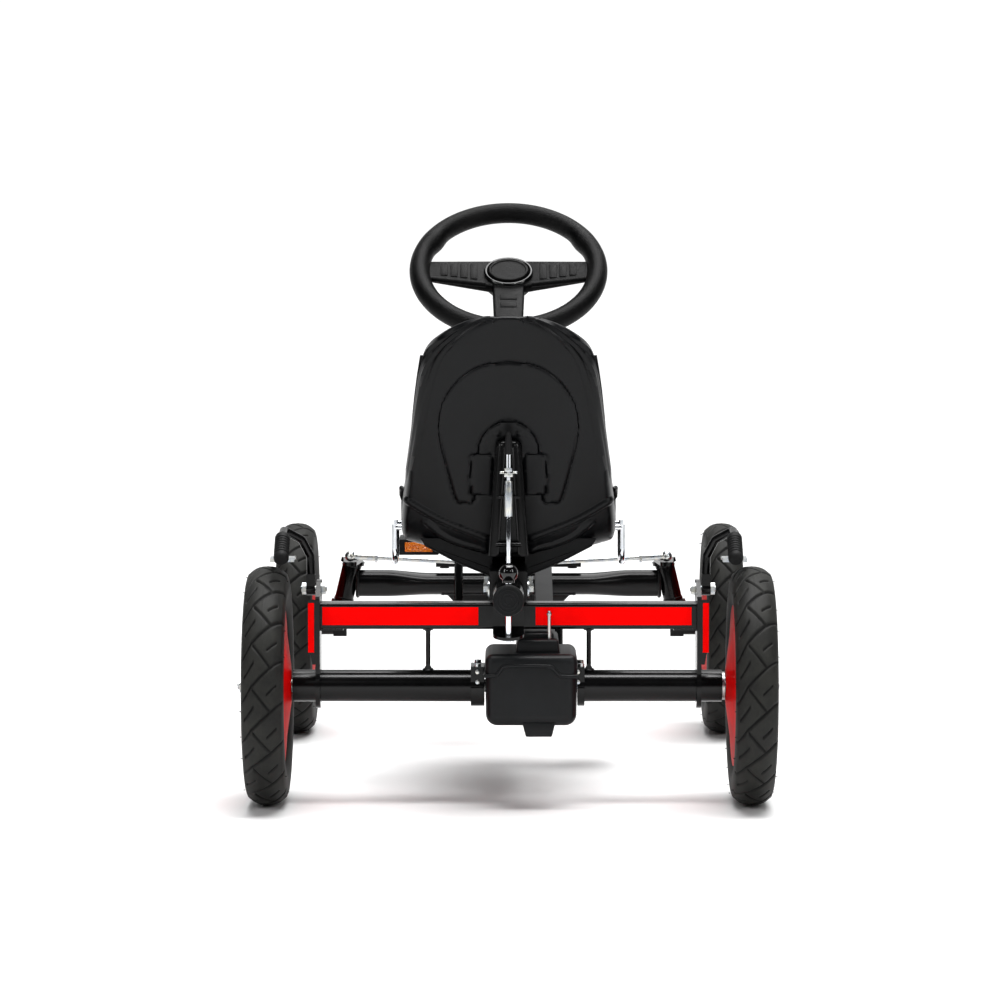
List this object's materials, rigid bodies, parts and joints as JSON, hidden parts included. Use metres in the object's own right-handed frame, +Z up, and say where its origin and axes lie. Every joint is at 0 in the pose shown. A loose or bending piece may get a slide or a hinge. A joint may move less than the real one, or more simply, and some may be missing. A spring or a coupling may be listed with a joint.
{
  "type": "pedal go kart",
  "caption": "Pedal go kart with pneumatic wheels, chain drive, swinging front axle, steering wheel and a sliding bucket seat.",
  "frame": {"origin": "on the floor, at the centre of the kart's length and width", "axes": "+Y forwards, +X to the right, +Z up"},
  "size_m": [0.722, 1.144, 0.8022],
  "materials": {
    "frame_paint": "gloss black powder coat",
    "zinc_steel": "bright zinc plate",
    "bright_steel": "polished chrome plate",
    "black_plastic": "moulded black",
    "seat_plastic": "moulded, fine grain, semi gloss",
    "housing_plastic": "moulded, satin",
    "knob_plastic": "polished black",
    "wheel_grain": "soft skinned foam with a leather grain",
    "grip_rubber": "matt black rubber",
    "tyre_rubber": "matt rubber with an angular road tread",
    "rim_red": "gloss red",
    "decal_red": "plain red film",
    "chain_steel": "oiled steel"
  },
  "bodies": {
    "frame": {"main_tube": "frame_paint", "tube_caps": "black_plastic", "rear_crossbar": "frame_paint", "decal_strips": "decal_red", "side_plate_left": "frame_paint", "side_plate_right": "frame_paint", "rear_axle_tubes": "frame_paint", "axle_bearings": "zinc_steel", "axle_clamps": "frame_paint", "housing_lower": "housing_plastic", "housing_upper": "housing_plastic", "chain_case": "housing_plastic", "chain": "chain_steel", "hitch_bracket": "frame_paint", "bottom_bracket": "frame_paint", "front_head": "frame_paint", "swing_buffers": "grip_rubber", "frame_bolts": "zinc_steel", "steering_mast": "frame_paint", "column_bushes": "black_plastic"},
    "rear_axle": {"rear_axle_shaft": "zinc_steel", "rear_sprocket": "chain_steel", "axle_nuts": "zinc_steel", "rim_rear_right": "rim_red", "tyre_rear_right": "tyre_rubber"},
    "rear_wheel_left": {"rim_rear_left": "rim_red", "tyre_rear_left": "tyre_rubber"},
    "crank": {"crank_spindle": "zinc_steel", "chainring": "chain_steel", "crank_arm_left": "frame_paint", "crank_arm_right": "frame_paint"},
    "pedal_left": {"pedal_left": "black_plastic"},
    "pedal_right": {"pedal_right": "black_plastic"},
    "front_axle": {"front_axle_beam": "frame_paint"},
    "knuckle_left": {"knuckle_left": "frame_paint"},
    "knuckle_right": {"knuckle_right": "frame_paint"},
    "front_wheel_left": {"rim_front_left": "rim_red", "tyre_front_left": "tyre_rubber"},
    "front_wheel_right": {"rim_front_right": "rim_red", "tyre_front_right": "tyre_rubber"},
    "tie_rod_left": {"tie_rod_left": "zinc_steel"},
    "tie_rod_right": {"tie_rod_right": "zinc_steel"},
    "steering": {"steering_column": "frame_paint", "steering_wheel": "wheel_grain", "wheel_badge": "knob_plastic"},
    "seat": {"seat_shell": "seat_plastic", "seat_carriage": "frame_paint", "seat_bolts": "zinc_steel", "seat_handles": "bright_steel", "seat_lock_guide": "zinc_steel"},
    "seat_lock": {"seat_lock_rod": "bright_steel"},
    "brake_lever_left": {"brake_lever_left": "frame_paint", "brake_grip_left": "grip_rubber", "brake_shoe_left": "zinc_steel"},
    "brake_lever_right": {"brake_lever_right": "frame_paint", "brake_grip_right": "grip_rubber", "brake_shoe_right": "zinc_steel"},
    "hitch_pin": {"hitch_pin": "bright_steel", "hitch_knob": "knob_plastic"},
    "selector_pin": {"selector_pin": "zinc_steel"}
  },
  "joints": [
    {"name": "rear_axle_spin", "type": "hinge", "parent": "frame", "child": "rear_axle", "pos_m": [0, -0.367, 0.159], "axis": [1, 0, 0], "continuous": true},
    {"name": "rear_wheel_left_spin", "type": "hinge", "parent": "frame", "child": "rear_wheel_left", "pos_m": [-0.322, -0.367, 0.159], "axis": [1, 0, 0], "continuous": true},
    {"name": "crank_spin", "type": "hinge", "parent": "frame", "child": "crank", "pos_m": [0, 0.083, 0.21], "axis": [1, 0, 0], "continuous": true},
    {"name": "front_axle_swing", "type": "hinge", "parent": "frame", "child": "front_axle", "pos_m": [0, 0.413, 0.226], "axis": [0, 1, 0], "range_deg": [-4, 4]},
    {"name": "steering_turn", "type": "hinge", "parent": "frame", "child": "steering", "pos_m": [0, 0.003, 0.707], "axis": [0, -0.6428, 0.766], "range_deg": [-45, 45]},
    {"name": "seat_slide", "type": "slide", "parent": "frame", "child": "seat", "axis": [0, 1, 0], "range_m": [0, 0.08]},
    {"name": "seat_lock_pull", "type": "slide", "parent": "seat", "child": "seat_lock", "axis": [0, 0, 1], "range_m": [0, 0.012], "stiffness_N_per_m": 300, "springref_m": -0.006},
    {"name": "hitch_pin_lift", "type": "slide", "parent": "frame", "child": "hitch_pin", "axis": [0, 0, 1], "range_m": [0, 0.06]},
    {"name": "selector_pin_lift", "type": "slide", "parent": "frame", "child": "selector_pin", "axis": [0, 0, 1], "range_m": [0, 0.008]},
    {"name": "pedal_left_spin", "type": "hinge", "parent": "crank", "child": "pedal_left", "pos_m": [-0.129, 0.11891, 0.30867], "axis": [1, 0, 0], "continuous": true},
    {"name": "knuckle_left_steer", "type": "hinge", "parent": "front_axle", "child": "knuckle_left", "pos_m": [-0.244, 0.413, 0.2285], "axis": [0.2309, 0, 0.973], "range_deg": [-22.1, 22.1]},
    {"name": "front_wheel_left_spin", "type": "hinge", "parent": "knuckle_left", "child": "front_wheel_left", "pos_m": [-0.322, 0.413, 0.159], "axis": [1, 0, 0], "continuous": true},
    {"name": "tie_rod_left_turn", "type": "hinge", "parent": "knuckle_left", "child": "tie_rod_left", "pos_m": [-0.237, 0.328, 0.27513], "axis": [0.2309, 0, 0.973], "range_deg": [-22.1, 22.1]},
    {"name": "brake_lever_left_pull", "type": "hinge", "parent": "frame", "child": "brake_lever_left", "pos_m": [-0.264, -0.337, 0.286], "axis": [1, 0, 0], "range_deg": [0, 10], "stiffness_Nm_per_rad": 1.5, "springref_deg": -11.46},
    {"name": "pedal_right_spin", "type": "hinge", "parent": "crank", "child": "pedal_right", "pos_m": [0.129, 0.04709, 0.11133], "axis": [1, 0, 0], "continuous": true},
    {"name": "knuckle_right_steer", "type": "hinge", "parent": "front_axle", "child": "knuckle_right", "pos_m": [0.244, 0.413, 0.2285], "axis": [-0.2309, 0, 0.973], "range_deg": [-22.1, 22.1]},
    {"name": "front_wheel_right_spin", "type": "hinge", "parent": "knuckle_right", "child": "front_wheel_right", "pos_m": [0.322, 0.413, 0.159], "axis": [1, 0, 0], "continuous": true},
    {"name": "tie_rod_right_turn", "type": "hinge", "parent": "knuckle_right", "child": "tie_rod_right", "pos_m": [0.237, 0.328, 0.27513], "axis": [-0.2309, 0, 0.973], "range_deg": [-22.1, 22.1]},
    {"name": "brake_lever_right_pull", "type": "hinge", "parent": "frame", "child": "brake_lever_right", "pos_m": [0.264, -0.337, 0.286], "axis": [1, 0, 0], "range_deg": [0, 10], "stiffness_Nm_per_rad": 1.5, "springref_deg": -11.46}
  ],
  "couplings": [
    {"joint": "crank_spin", "follows": "rear_axle_spin", "ratio": 0.5},
    {"joint": "knuckle_left_steer", "follows": "steering_turn", "ratio": 0.49},
    {"joint": "tie_rod_left_turn", "follows": "steering_turn", "ratio": -0.49},
    {"joint": "knuckle_right_steer", "follows": "steering_turn", "ratio": 0.49},
    {"joint": "tie_rod_right_turn", "follows": "steering_turn", "ratio": -0.49}
  ]
}
